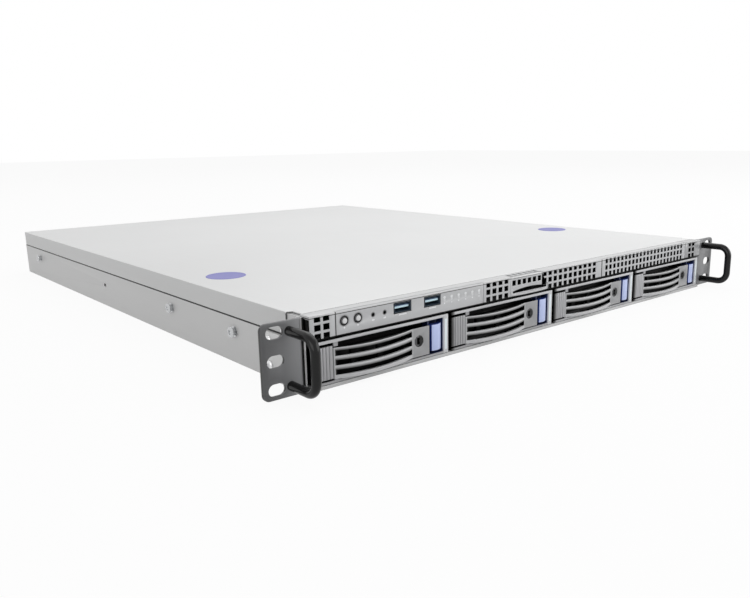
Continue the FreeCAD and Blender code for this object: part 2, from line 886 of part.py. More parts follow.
def fan_frame(x, front, low):
    """Square frame with a round bore, a strut across the back and the pin that the rotor runs on."""
    half = fan_size / 2
    z = low + half
    back = front + fan_depth
    body = box(x - half, x + half, front, back, low, low + fan_size)
    body = body.cut(faceted(14, fan_bore / 2, vector(x, front - 1, z), vector(0, fan_depth + 2, 0)))
    strut = box(x - fan_bore / 2 - 0.5, x + fan_bore / 2 + 0.5, back - 2.5, back, z - 5, z + 5)
    pin = faceted(8, fan_pin / 2, vector(x, front + 6, z), vector(0, fan_depth - 8, 0))
    return fuse([body, strut, pin])


def fan_rotor(x, front, low):
    """Faceted hub, two faces to a blade, with pitched blades that widen outward."""
    z = low + fan_size / 2
    hub_front = front + 2.5
    hub_back = front + fan_depth - 3 - running_gap
    corners = []
    for i in range(2 * blade_count):
        turn = math.pi * (i + 0.5) / blade_count
        corners.append(vector(x + fan_hub / 2 * math.cos(turn), hub_front, z + fan_hub / 2 * math.sin(turn)))
    hub = Part.Face(loop(corners)).extrude(vector(0, hub_back - hub_front, 0))
    tip = fan_bore / 2 - 2.2
    middle = (hub_front + hub_back) / 2
    blades = [fan_blade(x, z, middle, tip, i * 360.0 / blade_count) for i in range(blade_count)]
    half = fan_pin / 2 + fit_gap
    bore = box(x - half, x + half, front + 5.8, hub_back + 1, z - half, z + half)
    return fuse([hub, *blades]).cut(bore)


def fan_blade(x, z, middle, tip, turn):
    """Flat pitched blade, wider toward the tip."""
    slope = math.radians(40.0)
    inner = fan_hub / 2 - 0.8
    corners = ((inner, -6.5), (inner, 6.5), (tip, 8.5), (tip, -8.5))
    outline = loop([
        vector(x - 0.5 + math.sin(slope) * along, middle + math.cos(slope) * along, z + radius)
        for radius, along in corners
    ])
    blade = Part.Face(outline).extrude(vector(1, 0, 0))
    blade.rotate(vector(x, 0, z), vector(0, 1, 0), turn)
    return blade


def fan_bracket():
    """Folded bracket on the floor: a front plate with square windows and cheeks between the fans."""
    left = fan_middles[0] - fan_size / 2 - 8
    right = fan_middles[-1] + fan_size / 2 + 8
    front = fan_front - steel
    high = fan_low + fan_size
    middle = fan_low + fan_size / 2
    half = fan_bore / 2 - 1
    windows = [rectangle(x - half, x + half, middle - half, middle + half, front) for x in fan_middles]
    plate = pierced(rectangle(left, right, steel, high - 1, front), windows, steel)
    foot = box(left, right, front, fan_front + fan_depth, steel, fan_low)
    cheeks = []
    for x in fan_middles:
        for side in (-1, 1):
            edge = x + side * (fan_size / 2 + 0.5)
            cheeks.append(box(edge - 0.5, edge + 0.5, front, fan_front + fan_depth - 4, steel, high - 8))
    return fuse([plate, foot, *cheeks])


def motherboard():
    """Main board with its two processor sockets, slot and chips."""
    right = board_left + board_width
    low = steel + standoff_height
    board = box(board_left, right, board_front, board_front + board_length, low, board_top)
    parts = [board]
    for x, y in heatsink_places():
        parts.append(box(x - 28, x + 28, y - 28, y + 28, board_top - 0.1, board_top + 3.4))
    parts.append(box(riser_x - 3.5, riser_x + 3.5, riser_front, riser_back, board_top - 0.1, board_top + 8))
    parts.append(box(-30, 5, hub_chip - 17.5, hub_chip + 17.5, board_top - 0.1, board_top + 2))
    return fuse(parts)


def heatsink_places():
    y = board_front + heatsink_setback
    return (-160.0, y), (-36.0, y)


def finned(x, y, width, length, low, base, high, fins, wall):
    """Block of upright fins on a base, the fins along the air's path."""
    parts = [box(x - width / 2, x + width / 2, y - length / 2, y + length / 2, low, low + base)]
    pitch = (width - wall) / (fins - 1)
    for i in range(fins):
        edge = x - width / 2 + i * pitch
        parts.append(box(edge, edge + wall, y - length / 2, y + length / 2, low + base - 0.1, high))
    return fuse(parts)


def heatsinks():
    sinks = [finned(x, y, 78, 78, board_top + 3.4, 4, 38, 9, 1.0) for x, y in heatsink_places()]
    sinks.append(finned(-12.5, hub_chip, 32, 32, board_top + 2, 3, 24, 5, 1.0))
    return sinks


def memory_places():
    left_bank = [-110.0 + i * 9.5 for i in range(4)]
    right_bank = [16.0 + i * 9.5 for i in range(4)]
    return left_bank + right_bank


def memory_sockets():
    sockets = []
    for x in memory_places():
        back = memory_front + memory_length
        body = box(x - 3.2, x + 3.2, memory_front - 4, back + 4, board_top, board_top + 7)
        groove = box(x - 0.85, x + 0.85, memory_front - 0.3, back + 0.3, board_top + 2, board_top + 9)
        sockets.append(body.cut(groove))
    return sockets


def memory_modules():
    """Upright boards seated in the sockets."""
    return [
        box(x - 0.65, x + 0.65, memory_front, memory_front + memory_length, board_top + 2, board_top + 32)
        for x in memory_places()
    ]


def board_standoffs():
    posts = []
    for x in (board_left + 10, board_left + board_width / 2, board_left + board_width - 10):
        for y in (board_front + 10, board_front + board_length / 2, board_front + board_length - 14):
            posts.append(faceted(6, 2.9, vector(x, y, steel), vector(0, 0, standoff_height)))
    return posts


def riser_card():
    """Upright board in the main board's slot, with a sideways card socket."""
    board = box(riser_x - 0.8, riser_x + 0.8, riser_front + 2, riser_back - 2, board_top + 8, 38)
    socket = box(riser_x - 12, riser_x - 0.8, riser_front + 6, riser_back - 6, 24.0, 31.5)
    return fuse([board, socket])


def slot_bracket():
    """Blank that closes the card slot from inside, with a folded foot on the main board's side."""
    left, right, low, high = card_slot()
    plate = box(left - 2.5, right + 2.5, rear_inside - 1, rear_inside, low - 2.5, high + 2.5)
    lip = box(left - 2.5, left - 1.5, rear_inside - 10, rear_inside, low - 2.5, high + 2.5)
    return fuse([plate, lip])


def rear_ports():
    """Serial, video, twin network and stacked USB sockets along the back edge of the board."""
    places = port_places()
    ports = []
    for name in ("serial", "video"):
        left, right, low, high = places[name]
        middle = (left + right) / 2
        centre = (low + high) / 2
        body = box(left + 0.4, right - 0.4, rear_inside - 12, chassis_depth + 0.4, board_top, high - 0.4)
        hood = Part.Face(loop([
            vector(middle - 7.4, chassis_depth, centre - 4),
            vector(middle + 7.4, chassis_depth, centre - 4),
            vector(middle + 8.8, chassis_depth, centre + 4),
            vector(middle - 8.8, chassis_depth, centre + 4),
        ])).extrude(vector(0, 4.4, 0))
        posts = [
            faceted(6, 2.6, vector(middle + offset, chassis_depth, centre), vector(0, port_screw, 0))
            for offset in (-12.5, 12.5)
        ]
        ports.append(fuse([body, hood, *posts]))
    ports.append(network_ports(places["network"]))
    ports.append(stacked_usb(places["usb"]))
    return ports


def network_ports(place):
    left, right, low, high = place
    body = box(left + 0.4, right - 0.4, rear_inside - 18, chassis_depth + 0.6, board_top, high - 0.4)
    for x in jack_middles():
        body = body.cut(box(
            x - jack_width / 2, x + jack_width / 2, rear_inside - 13, chassis_depth + 1,
            low + 1.9, low + 1.9 + jack_height,
        ))
    return body


def jack_middles():
    left, right, _, _ = port_places()["network"]
    quarter = (right - left) / 4
    return left + quarter + 0.5, right - quarter - 0.5


def stacked_usb(place):
    left, right, low, high = place
    body = box(left + 0.4, right - 0.4, rear_inside - 16, chassis_depth + 0.6, board_top, high - 0.4)
    for level in (low + 1.3, low + 8.7):
        room = box(left + 1.2, right - 1.2, rear_inside - 12, chassis_depth + 1, level, level + 5.2)
        tongue = box(left + 2.0, right - 2.0, rear_inside - 13, chassis_depth - 1, level + 1.6, level + 3.4)
        body = body.cut(room.cut(tongue))
    return body


def supply_case():
    """Sheet box with slots in its front, a slotted fan grille and the inlet's window in its back."""
    front = rear_inside - psu_length
    case = box(supply_left, psu_right, front, rear_inside, steel, steel + psu_height)
    room = box(
        supply_left + psu_steel, psu_right - psu_steel, front + psu_steel, rear_inside - psu_steel,
        steel + psu_steel, steel + psu_height - psu_steel,
    )
    case = case.cut(room)
    for i in range(6):
        x = supply_left + 10 + i * 14
        case = case.cut(box(x, x + 8, front - 1, front + 2, steel + 6, steel + psu_height - 6))
    for i in range(5):
        z = supply_middle - 14 + i * 7
        louvre = box(supply_fan - 15, supply_fan + 15, rear_inside - 2, rear_inside + 1, z - 1.8, z + 1.8)
        case = case.cut(louvre)
    window = box(
        inlet_middle - inlet_width / 2 - 1.6, inlet_middle + inlet_width / 2 + 1.6, rear_inside - 2,
        rear_inside + 1, supply_middle - inlet_height / 2 - 1.6, supply_middle + inlet_height / 2 + 1.6,
    )
    case = case.cut(window)
    pin = faceted(
        8, fan_pin / 2, vector(supply_fan, rear_inside - fan_depth + 6, supply_middle),
        vector(0, fan_depth - 6.5, 0),
    )
    return fuse([case, pin])


def power_inlet():
    """Mains inlet: rounded socket with three blades, flanged against the supply's back."""
    x = inlet_middle
    z = supply_middle
    front = rear_inside - inlet_depth
    wide = inlet_width / 2
    tall = inlet_height / 2
    body = box(x - wide - 1.5, x + wide + 1.5, front, rear_inside, z - tall - 1.5, z + tall + 1.5)
    rim = 1.1
    collar = box(
        x - wide - rim, x + wide + rim, rear_inside - 1, chassis_depth + 0.8, z - tall - rim, z + tall + rim
    )
    room = box(x - wide, x + wide, front + 2, chassis_depth + 2, z - tall, z + tall)
    corners = [e for e in room.Edges if abs(e.Length - (inlet_depth + steel)) < 0.01 and e.CenterOfMass.z > z]
    room = room.makeChamfer(4.0, corners)
    shape = fuse([body, collar]).cut(room)
    blades = [
        box(x + dx - 1, x + dx + 1, front + 1.5, rear_inside - 3, z + dz - 2, z + dz + 2)
        for dx, dz in ((-7, -2), (7, -2), (0, 2.5))
    ]
    return fuse([shape, *blades])


def build():
    os.makedirs("parts", exist_ok=True)
    write("chassis_pan", chassis_pan())
    write("top_cover", top_cover())
    write("cover_pads", *cover_pads())
    write("rail_studs", *rail_studs())
    write("rack_ears", ear(-1), ear(1))
    write("handles", handle(-1), handle(1))
    write("handle_screws", *handle_screws())
    write("ear_screws", *ear_screws())
    write("front_grille", front_grille())
    write("control_panel", control_panel())
    write("control_board", control_board())
    write("power_button", push_button(power_button_x))
    write("reset_button", push_button(reset_button_x))
    write("usb_shells", *usb_shells())
    write("usb_tongues", *usb_tongues())
    write("status_lights", *status_lights())
    write("bay_panel", bay_panel())
    write("pull_tag", pull_tag())
    write("drive_cage", drive_cage())
    write("drive_backplane", drive_backplane())
    write("drive_connectors", *drive_connectors())
    for number, middle in enumerate(tray_middles, 1):
        write("tray_carrier_%d" % number, tray_carrier(middle))
        write("lever_door_%d" % number, lever_door(middle))
        write("lock_core_%d" % number, lock_core(middle))
        write("tray_latch_%d" % number, tray_latch(middle))
        write("hard_drive_%d" % number, hard_drive(middle))
    write("fan_bracket", fan_bracket())
    write("fan_frames", *[fan_frame(x, fan_front, fan_low) for x in fan_middles])
    for number, x in enumerate(fan_middles, 1):
        write("fan_rotor_%d" % number, fan_rotor(x, fan_front, fan_low))
    write("motherboard", motherboard())
    write("board_standoffs", *board_standoffs())
    write("heatsinks", *heatsinks())
    write("memory_sockets", *memory_sockets())
    write("memory_modules", *memory_modules())
    write("riser_card", riser_card())
    write("slot_bracket", slot_bracket())
    write("rear_ports", *rear_ports())
    write("supply_case", supply_case())
    write("supply_rotor", fan_rotor(supply_fan, rear_inside - fan_depth, supply_middle - fan_size / 2))
    write("power_inlet", power_inlet())


build()
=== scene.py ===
import bmesh
import bpy
import json
import math
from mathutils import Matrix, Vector


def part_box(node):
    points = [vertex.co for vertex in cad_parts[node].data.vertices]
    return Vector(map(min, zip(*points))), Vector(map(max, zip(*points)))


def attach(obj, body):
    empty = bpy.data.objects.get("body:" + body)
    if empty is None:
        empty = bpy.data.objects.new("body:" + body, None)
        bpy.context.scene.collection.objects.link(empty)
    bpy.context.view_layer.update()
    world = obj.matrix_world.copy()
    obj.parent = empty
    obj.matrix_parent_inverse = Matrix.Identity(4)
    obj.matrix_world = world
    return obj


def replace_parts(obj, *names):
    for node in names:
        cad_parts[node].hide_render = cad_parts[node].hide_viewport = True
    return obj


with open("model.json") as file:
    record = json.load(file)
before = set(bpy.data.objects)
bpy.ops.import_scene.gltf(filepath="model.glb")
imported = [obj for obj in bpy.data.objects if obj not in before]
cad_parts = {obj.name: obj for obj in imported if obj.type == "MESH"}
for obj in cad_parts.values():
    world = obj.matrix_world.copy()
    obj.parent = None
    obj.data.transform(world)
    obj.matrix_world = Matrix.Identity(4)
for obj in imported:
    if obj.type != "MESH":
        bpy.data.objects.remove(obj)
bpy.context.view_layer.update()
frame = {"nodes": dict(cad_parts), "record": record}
scene = bpy.context.scene
nodes = frame["nodes"]
bodyOf = {name: body for body, names in frame["record"]["behaviour"]["bodies"].items() for name in names}
trays = [1, 2, 3, 4]
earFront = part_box("rack_ears")[0].y
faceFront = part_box("front_grille")[0].y  # the front plane of bezel and trays


bumpReach = 0.0002  # for finishes that don't set their own


class Wire:  # a socket that can take part in sums
    def __init__(self, graph, socket):
        self.graph = graph
        self.socket = socket

    def __add__(self, other):
        return self.graph.maths("ADD", self, other)

    def __sub__(self, other):
        return self.graph.maths("SUBTRACT", self, other)

    def __rsub__(self, other):
        return self.graph.maths("SUBTRACT", other, self)

    def __mul__(self, other):
        return self.graph.maths("MULTIPLY", self, other)

    def __truediv__(self, other):
        return self.graph.maths("DIVIDE", self, other)

    def __gt__(self, other):
        return self.graph.maths("GREATER_THAN", self, other)

    def __lt__(self, other):
        return self.graph.maths("LESS_THAN", self, other)

    __radd__ = __add__
    __rmul__ = __mul__

    def size(self):  # without its sign
        return self.graph.maths("ABSOLUTE", self)

    def within(self, low, high):
        return (self > low) * (self < high)


class Graph:  # the nodes of a material or of the world
    def __init__(self, owner):
        owner.use_nodes = True
        self.tree = owner.node_tree
        self.tree.nodes.clear()

    def add(self, kind, settings=None, values=None, output=0):
        node = self.tree.nodes.new(kind)
        for key, value in (settings or {}).items():
            setattr(node, key, value)
        for key, value in (values or {}).items():
            self.plug(node.inputs[key], value)
        return Wire(self, node.outputs[output])

    def plug(self, socket, value):
        if isinstance(value, Wire):
            self.tree.links.new(value.socket, socket)
        else:
            socket.default_value = value

    def maths(self, operation, first, second=0.0):
        return self.add("ShaderNodeMath", {"operation": operation}, {0: first, 1: second})

    def highest(self, first, *others):
        for other in others:
            first = self.maths("MAXIMUM", first, other)
        return first

    def seen(self):  # 1 on rays that show or mirror the backdrop, 0 on those that light the object
        kinds = ("Is Camera Ray", "Is Glossy Ray", "Is Transmission Ray")
        return self.highest(*[self.add("ShaderNodeLightPath", None, None, kind) for kind in kinds])


class Finish(Graph):  # one material and its shader
    def __init__(self, name, **shader):
        self.material = bpy.data.materials.new(name)
        super().__init__(self.material)
        self.shader = self.tree.nodes.new("ShaderNodeBsdfPrincipled")
        self.out = self.tree.nodes.new("ShaderNodeOutputMaterial")
        self.tree.links.new(self.shader.outputs[0], self.out.inputs[0])
        for socket, value in shader.items():
            self.put(socket, value)

    def put(self, socket, value):
        self.plug(self.shader.inputs[socket.replace("_", " ")], value)

    def place(self, output="Object"):
        return self.add("ShaderNodeTexCoord", None, None, output)

    def axis(self, letter):  # place on the object along one axis, in metres
        return self.add("ShaderNodeSeparateXYZ", None, {0: self.place()}, "XYZ".index(letter))

    def facing(self, letter):  # how much the surface faces along one axis
        return self.add("ShaderNodeSeparateXYZ", None, {0: self.place("Normal")}, "XYZ".index(letter))

    def noise(self, scale, detail, stretch=None):
        where = self.place()
        if stretch:
            where = self.add("ShaderNodeMapping", None, {"Vector": where, "Scale": stretch})
        return self.add("ShaderNodeTexNoise", None, {"Vector": where, "Scale": scale, "Detail": detail})

    def mix(self, amount, first, second):
        colours = {0: amount, 6: first, 7: second}
        return self.add("ShaderNodeMix", {"data_type": "RGBA"}, colours, 2)

    def spread(self, wire, limits):  # a soft step from 0 to 1 between two levels
        step = self.add("ShaderNodeValToRGB", None, {0: wire})
        for element, level in zip(step.socket.node.color_ramp.elements, limits):
            element.position = level
        return step

    def bump(self, height, depth, reach=bumpReach):
        values = {"Strength": depth, "Distance": reach, "Height": height}
        self.put("Normal", self.add("ShaderNodeBump", None, values))

    def surface(self, grain, look):  # uneven roughness and, where the look has one, a fine bump
        self.put("Roughness", look["rough"] + (grain - 0.5) * look["vary"])
        if "bump" in look:
            self.bump(grain, look["bump"], look.get("reach", bumpReach))


def tone(grey, tint=(1.0, 1.0, 1.0)):
    return (grey * tint[0], grey * tint[1], grey * tint[2], 1.0)


def shaded(colour, factor):
    return tuple(min(1.0, c * factor) for c in colour[:3]) + (1.0,)


# finishes for whole nodes

squarely = 0.8  # how far a face has to point along an axis to count as facing it
zinc = {
    "low": 0.92, "high": 1.06, "cut": 0.15, "side": 0.74, "tint": (0.995, 1.0, 1.0), "metal": 0.25,
    "cloud": 7.0, "grain": 60.0, "stretch": (40.0, 0.6, 40.0), "fine": 1400.0,
    "rough": 0.50, "vary": 0.10, "fineVary": 0.05, "bump": 0.10, "grainShare": 0.6, "fineShare": 0.4,
}


def zincNoise(fin):  # long rolling grain, and its blend with wide clouds
    cloud = fin.noise(zinc["cloud"], 4.0)
    grain = fin.noise(zinc["grain"], 3.0, zinc["stretch"])
    return grain, cloud * 0.5 + grain * 0.5


def zincSheet(name, shade):
    fin = Finish(name, Metallic=zinc["metal"])
    grain, mask = zincNoise(fin)
    fine = fin.noise(zinc["fine"], 2.0)
    low = tone(shade * zinc["low"], zinc["tint"])
    high = tone(shade * zinc["high"], zinc["tint"])
    # painted shade: faces pointing sideways, such as the cover's flanges, get a darker copy of the zinc
    onSide = fin.mix(mask, shaded(low, zinc["side"]), shaded(high, zinc["side"]))
    sheet = fin.mix(fin.facing("X").size() > squarely, fin.mix(mask, low, high), onSide)
    # faces pointing forward are made much darker
    cutEdge = fin.facing("Y") < -squarely
    fin.put("Base Color", fin.mix(cutEdge, sheet, tone(shade * zinc["cut"])))
    fin.put("Roughness", zinc["rough"] + (grain - 0.5) * zinc["vary"] + (fine - 0.5) * zinc["fineVary"])
    fin.bump(grain * zinc["grainShare"] + fine * zinc["fineShare"], zinc["bump"])
    return fin.material


# shade: the cover's zinc made darker, painted shade on the body
pan = {
    "shade": 0.52, "dark": 0.010, "hemTop": 0.0023, "lip": 0.0058, "seam": 0.0010, "seamFrom": 0.0165,
    "seamShade": 0.03, "side": 0.2140,
}
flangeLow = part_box("top_cover")[0].z


def panSheet(name):  # zinc sheet with painted shade: darker than the cover's same zinc, near black in its front lips, and a painted shadow along the seam under the cover's flange
    fin = Finish(name, Metallic=zinc["metal"])
    grain, mask = zincNoise(fin)
    sheet = fin.mix(mask, tone(pan["shade"] * zinc["low"]), tone(pan["shade"] * zinc["high"]))
    # painted shadow in a band under the cover's flange
    seam = (fin.axis("Z") > flangeLow - pan["seam"]) * (fin.axis("X").size() > pan["side"])
    seam = seam * (fin.axis("Y") > earFront + pan["seamFrom"])
    sheet = fin.mix(seam, sheet, tone(pan["seamShade"]))
    # painted shade: the front lips of the walls made near black
    lip = (fin.axis("Y") < faceFront + pan["lip"]) * (fin.axis("Z") > pan["hemTop"])
    fin.put("Base Color", fin.mix(lip, sheet, tone(pan["dark"])))
    fin.surface(grain, zinc)
    return fin.material


cage = {
    "edge": 0.98, "dark": 0.012, "reach": 0.2110, "front": 0.0065,
    "speck": 400.0, "rough": 0.55, "vary": 0.2, "bump": 0.1,
}


def cageSheet(name):  # sheet painted near black as painted shade inside the chassis, with bare front edges beside the trays made near white, partly a painted highlight
    fin = Finish(name)
    speck = fin.noise(cage["speck"], 2.0)
    frontEdge = (fin.axis("X").size() > cage["reach"]) * (fin.axis("Y") < faceFront + cage["front"])
    blackened = fin.mix(speck, tone(cage["dark"]), tone(cage["dark"] * 2))
    fin.put("Base Color", fin.mix(frontEdge, blackened, tone(cage["edge"])))
    fin.surface(speck, cage)
    return fin.material


ear = {
    "outer": 0.084, "inner": 0.250, "tip": 0.240, "root": 0.217, "edge": 0.020, "flange": 0.62,
    "plate": 0.0024, "tint": (0.99, 1.0, 1.03), "worn": 0.16, "wornShare": 0.15,
    "pebble": 1500.0, "patch": 30.0, "rough": 0.42, "vary": 0.14, "bump": 0.22,
}


def earPaint(name):  # textured paint on the ear's plate, with painted light growing towards the chassis and painted shade on its side faces, bare zinc on the flange behind it
    fin = Finish(name)
    pebble = fin.noise(ear["pebble"], 2.0)
    patch = fin.noise(ear["patch"], 3.0)
    # painted light: the plate gets lighter from its tip towards the chassis
    inward = fin.spread((ear["tip"] - fin.axis("X").size()) / (ear["tip"] - ear["root"]), (0.0, 1.0))
    shade = fin.mix(inward, tone(ear["outer"], ear["tint"]), tone(ear["inner"], ear["tint"]))
    worn = patch * ear["wornShare"] + pebble * ear["wornShare"]
    shade = fin.mix(worn, shade, tone(ear["worn"], ear["tint"]))
    # painted shade on the faces pointing sideways
    shade = fin.mix(fin.facing("X").size() > squarely, shade, tone(ear["edge"]))
    flange = fin.axis("Y") > earFront + ear["plate"]
    fin.put("Base Color", fin.mix(flange, shade, tone(ear["flange"])))
    fin.surface(pebble, ear)
    return fin.material


silver = {
    "flake": 2600.0, "patch": 22.0, "low": 0.90, "high": 1.10, "metal": 0.15, "coat": 0.45, "coatRough": 0.22,
    "rough": 0.40, "vary": 0.12, "bump": 0.08, "reach": 0.0001,
}


def silverCoat(fin):  # speckle of a metallic paint, and its roughness and bump
    flake = fin.noise(silver["flake"], 1.0)
    patch = fin.noise(silver["patch"], 3.0)
    fin.surface(flake, silver)
    return flake * 0.5 + patch * 0.5


def shadeInside(fin, hidden):  # no gloss where the colour is painted shade, the dark of a recess
    fin.put("Coat Weight", (1.0 - hidden) * silver["coat"])
    fin.put("Metallic", hidden * (1.0 - silver["metal"]) + silver["metal"])


bezel = {
    "face": (0.455, 0.460, 0.470, 1.0), "top": (0.54, 0.545, 0.55, 1.0), "dark": 0.012, "depth": 0.0003,
    "rim": 0.002, "gap": 0.0012, "undercut": 0.0008, "lineLow": 0.0016, "lineHigh": 0.0011, "line": 0.045,
    "side": 0.00045, "block": 0.40, "blockShade": 0.10, "ring": 0.05, "ringShare": 0.85,
    "ringSoft": (0.15, 0.31), "upward": (0.6, 0.9),
}
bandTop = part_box("front_grille")[1].z
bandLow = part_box("tray_carrier_1")[1].z + bezel["gap"]  # where the bezel's front face starts
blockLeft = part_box("bay_panel")[1].x  # where the right end block starts


def bezelPaint(name, ringsRound=(), left=None):
    # ringsRound: centre and radius of each ring of painted shade round a hole; left: where a let-in panel
    # starts, with a dark joint
    fin = Finish(name, Coat_Roughness=silver["coatRough"])
    speckle = silverCoat(fin)
    height = fin.axis("Z")
    colour = fin.mix(speckle, shaded(bezel["face"], silver["low"]), shaded(bezel["face"], silver["high"]))
    # painted light: faces pointing up, and the strip along the top, get a lighter colour
    upward = fin.spread(fin.facing("Z"), bezel["upward"])
    upward = fin.highest(upward, height > bandTop - bezel["lineHigh"])
    colour = fin.mix(upward, colour, bezel["top"])
    line = height.within(bandTop - bezel["lineLow"], bandTop - bezel["lineHigh"])
    if left:
        line = fin.highest(line, fin.axis("X") < left + bezel["side"])
    colour = fin.mix(line, colour, tone(bezel["line"]))
    if not left:
        # painted shade on the right end block
        endBlock = (fin.axis("X") > blockLeft) * bezel["block"]
        colour = fin.mix(endBlock, colour, tone(bezel["blockShade"]))
    # painted shade inside the recesses and under the band's lower edge
    deep = (height < bandTop - bezel["rim"]) * (fin.axis("Y") > faceFront + bezel["depth"])
    hidden = fin.highest(deep, height < bandLow + bezel["undercut"])
    colour = fin.mix(hidden, colour, tone(bezel["dark"]))
    shadeInside(fin, hidden)
    # painted shade, soft and dark, round each button and pin hole
    for centre, radius in ringsRound:
        across = fin.axis("X") - centre.x
        up = fin.axis("Z") - centre.z
        away = across * across + up * up
        soft = 1.0 - fin.spread(away / (radius * radius * 4.0), bezel["ringSoft"])
        colour = fin.mix(soft * bezel["ringShare"], colour, tone(bezel["ring"]))
    fin.put("Base Color", colour)
    return fin.material


tray = {
    "flat": (0.335, 0.336, 0.348, 1.0), "lift": (1.0, 0.97, 1.20, 1.30), "speck": 0.35, "speckShade": 0.30,
    "bar": (0.56, 0.565, 0.58, 1.0), "barLow": 0.0261, "barLeft": 0.0984,
    "strip": (0.72, 0.80, 0.83, 1.0), "stripLeft": 0.0996, "stripRight": 0.1013, "stripLow": 0.0050,
    "stripHigh": 0.0250, "navy": (0.012, 0.022, 0.085, 1.0), "recessLeft": 0.0861, "recessRight": 0.0986,
    "recessLow": 0.0035, "recessHigh": 0.0268, "half": 0.0512, "depth": 0.0010, "black": 0.006,
    "shade": 0.02, "shadeFrom": 0.0010, "shadeTo": 0.0032,
}


def trayLeft(i):
    low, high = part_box("tray_carrier_%d" % i)
    return (low.x + high.x) / 2 - tray["half"]


def trayPaint(i):  # silver front with a bright frame, with painted shade along its left edge and inside: black, and navy round the latch
    fin = Finish("tray_paint_%d" % i, Coat_Roughness=silver["coatRough"])
    speckle = silverCoat(fin)
    across = fin.axis("X") - trayLeft(i)
    height = fin.axis("Z")
    bar = fin.highest(height > tray["barLow"], across > tray["barLeft"])
    # painted light: each tray's flat gets its own brightness, lighter towards the right of the row
    paint = fin.mix(bar, shaded(tray["flat"], tray["lift"][i - 1]), tray["bar"])
    paint = fin.mix(speckle * tray["speck"], paint, tone(tray["speckShade"]))
    strip = across.within(tray["stripLeft"], tray["stripRight"])
    strip = strip * height.within(tray["stripLow"], tray["stripHigh"])
    paint = fin.mix(strip, paint, tray["strip"])
    # painted shade along the tray's left edge
    leftEdge = (across - tray["shadeFrom"]) / (tray["shadeTo"] - tray["shadeFrom"])
    paint = fin.mix(fin.spread(leftEdge, (0.0, 1.0)), tone(tray["shade"]), paint)
    # painted shade inside: black, and navy for the blue plastic round the latch
    recess = across.within(tray["recessLeft"], tray["recessRight"])
    recess = recess * height.within(tray["recessLow"], tray["recessHigh"])
    inner = fin.mix(recess, tone(tray["black"]), tray["navy"])
    deep = fin.axis("Y") > faceFront + tray["depth"]
    fin.put("Base Color", fin.mix(deep, paint, inner))
    shadeInside(fin, deep * (1.0 - recess))
    return fin.material


lever = {
    "bars": (0.50, 0.505, 0.515, 1.0), "flat": (0.270, 0.272, 0.280, 1.0), "flatStart": (0.710, 0.730),
    "width": 0.1, "speck": 0.3, "speckShade": 0.36, "under": 0.055, "underSoft": (0.10, 0.62), "web": 0.012,
    "webLow": 0.0218, "upward": (0.7, 0.95), "roof": 0.5, "back": 0.3,
    "slotLow": 0.0069, "pitch": 0.0056, "slotHeight": 0.0032, "slotsLeft": 0.0136, "slotsRight": 0.0716,
    "crown": 0.03925, "reach": 0.03195, "bulge": 0.0054, "wall": 0.0020, "front": 0.0006, "black": 0.004,
}


def leverPaint(i):  # bright louvres with painted shade on their undersides, grey flat with the lock, painted shade inside
    fin = Finish("lever_paint_%d" % i, Coat_Roughness=silver["coatRough"])
    speckle = silverCoat(fin)
    across = fin.axis("X") - trayLeft(i)
    height = fin.axis("Z")
    onFlat = fin.spread(across / lever["width"], lever["flatStart"])
    paint = fin.mix(onFlat, lever["bars"], lever["flat"])
    paint = fin.mix(speckle * lever["speck"], paint, tone(lever["speckShade"]))
    # painted shade on the top web under the tray's top bar
    upward = fin.spread(fin.facing("Z"), lever["upward"]) * (height > lever["webLow"])
    paint = fin.mix(upward, paint, tone(lever["web"]))
    phase = fin.maths("FLOORED_MODULO", height - lever["slotLow"], lever["pitch"]) / lever["pitch"]
    barStart = lever["slotHeight"] / lever["pitch"]
    rise = fin.spread((phase - barStart) / (1.0 - barStart), lever["underSoft"])
    amongSlots = across.within(lever["slotsLeft"], lever["slotsRight"])
    louvre = amongSlots * (fin.facing("Z") < lever["roof"])
    underside = louvre * (1.0 - rise) * (height > lever["slotLow"])
    paint = fin.mix(underside, paint, tone(lever["under"]))
    # painted shade behind the bowed louvres, on their ends, and on faces turned inwards
    share = (across - lever["crown"]) / lever["reach"]
    bow = (1.0 - share * share) * lever["bulge"]
    behind = amongSlots * (fin.axis("Y") + bow > faceFront + lever["wall"])
    ends = amongSlots * (fin.facing("X").size() > squarely)
    inward = fin.highest(fin.facing("Y") > lever["back"], fin.axis("Y") > faceFront + lever["front"])
    hidden = fin.highest(inward, ends, behind)
    fin.put("Base Color", fin.mix(hidden, paint, tone(lever["black"])))
    shadeInside(fin, hidden)
    return fin.material


latch = {
    "front": (0.50, 0.58, 0.88, 1.0), "side": (0.020, 0.045, 0.24, 1.0), "frontSoft": (0.45, 0.75),
    "mottle": 0.3, "low": 0.88, "coat": 0.3, "coatRough": 0.2,
    "skin": 1200.0, "rough": 0.38, "vary": 0.1, "bump": 0.08, "reach": 0.0001,
}


def latchPlastic(name):  # blue plastic with a painted highlight where it faces forward and painted shade round its sides
    fin = Finish(name, Coat_Weight=latch["coat"], Coat_Roughness=latch["coatRough"])
    skin = fin.noise(latch["skin"], 2.0)
    # pale front is a painted highlight, navy sides are painted shade
    front = fin.spread(-1.0 * fin.facing("Y"), latch["frontSoft"])
    pale = fin.mix(skin * latch["mottle"], latch["front"], shaded(latch["front"], latch["low"]))
    fin.put("Base Color", fin.mix(front, latch["side"], pale))
    fin.surface(skin, latch)
    return fin.material


drive = {
    "shade": 0.42, "low": 0.9, "dark": 0.012, "front": 0.0012, "metal": 0.8,
    "sand": 500.0, "rough": 0.42, "vary": 0.16, "bump": 0.06, "reach": 0.0001,
}


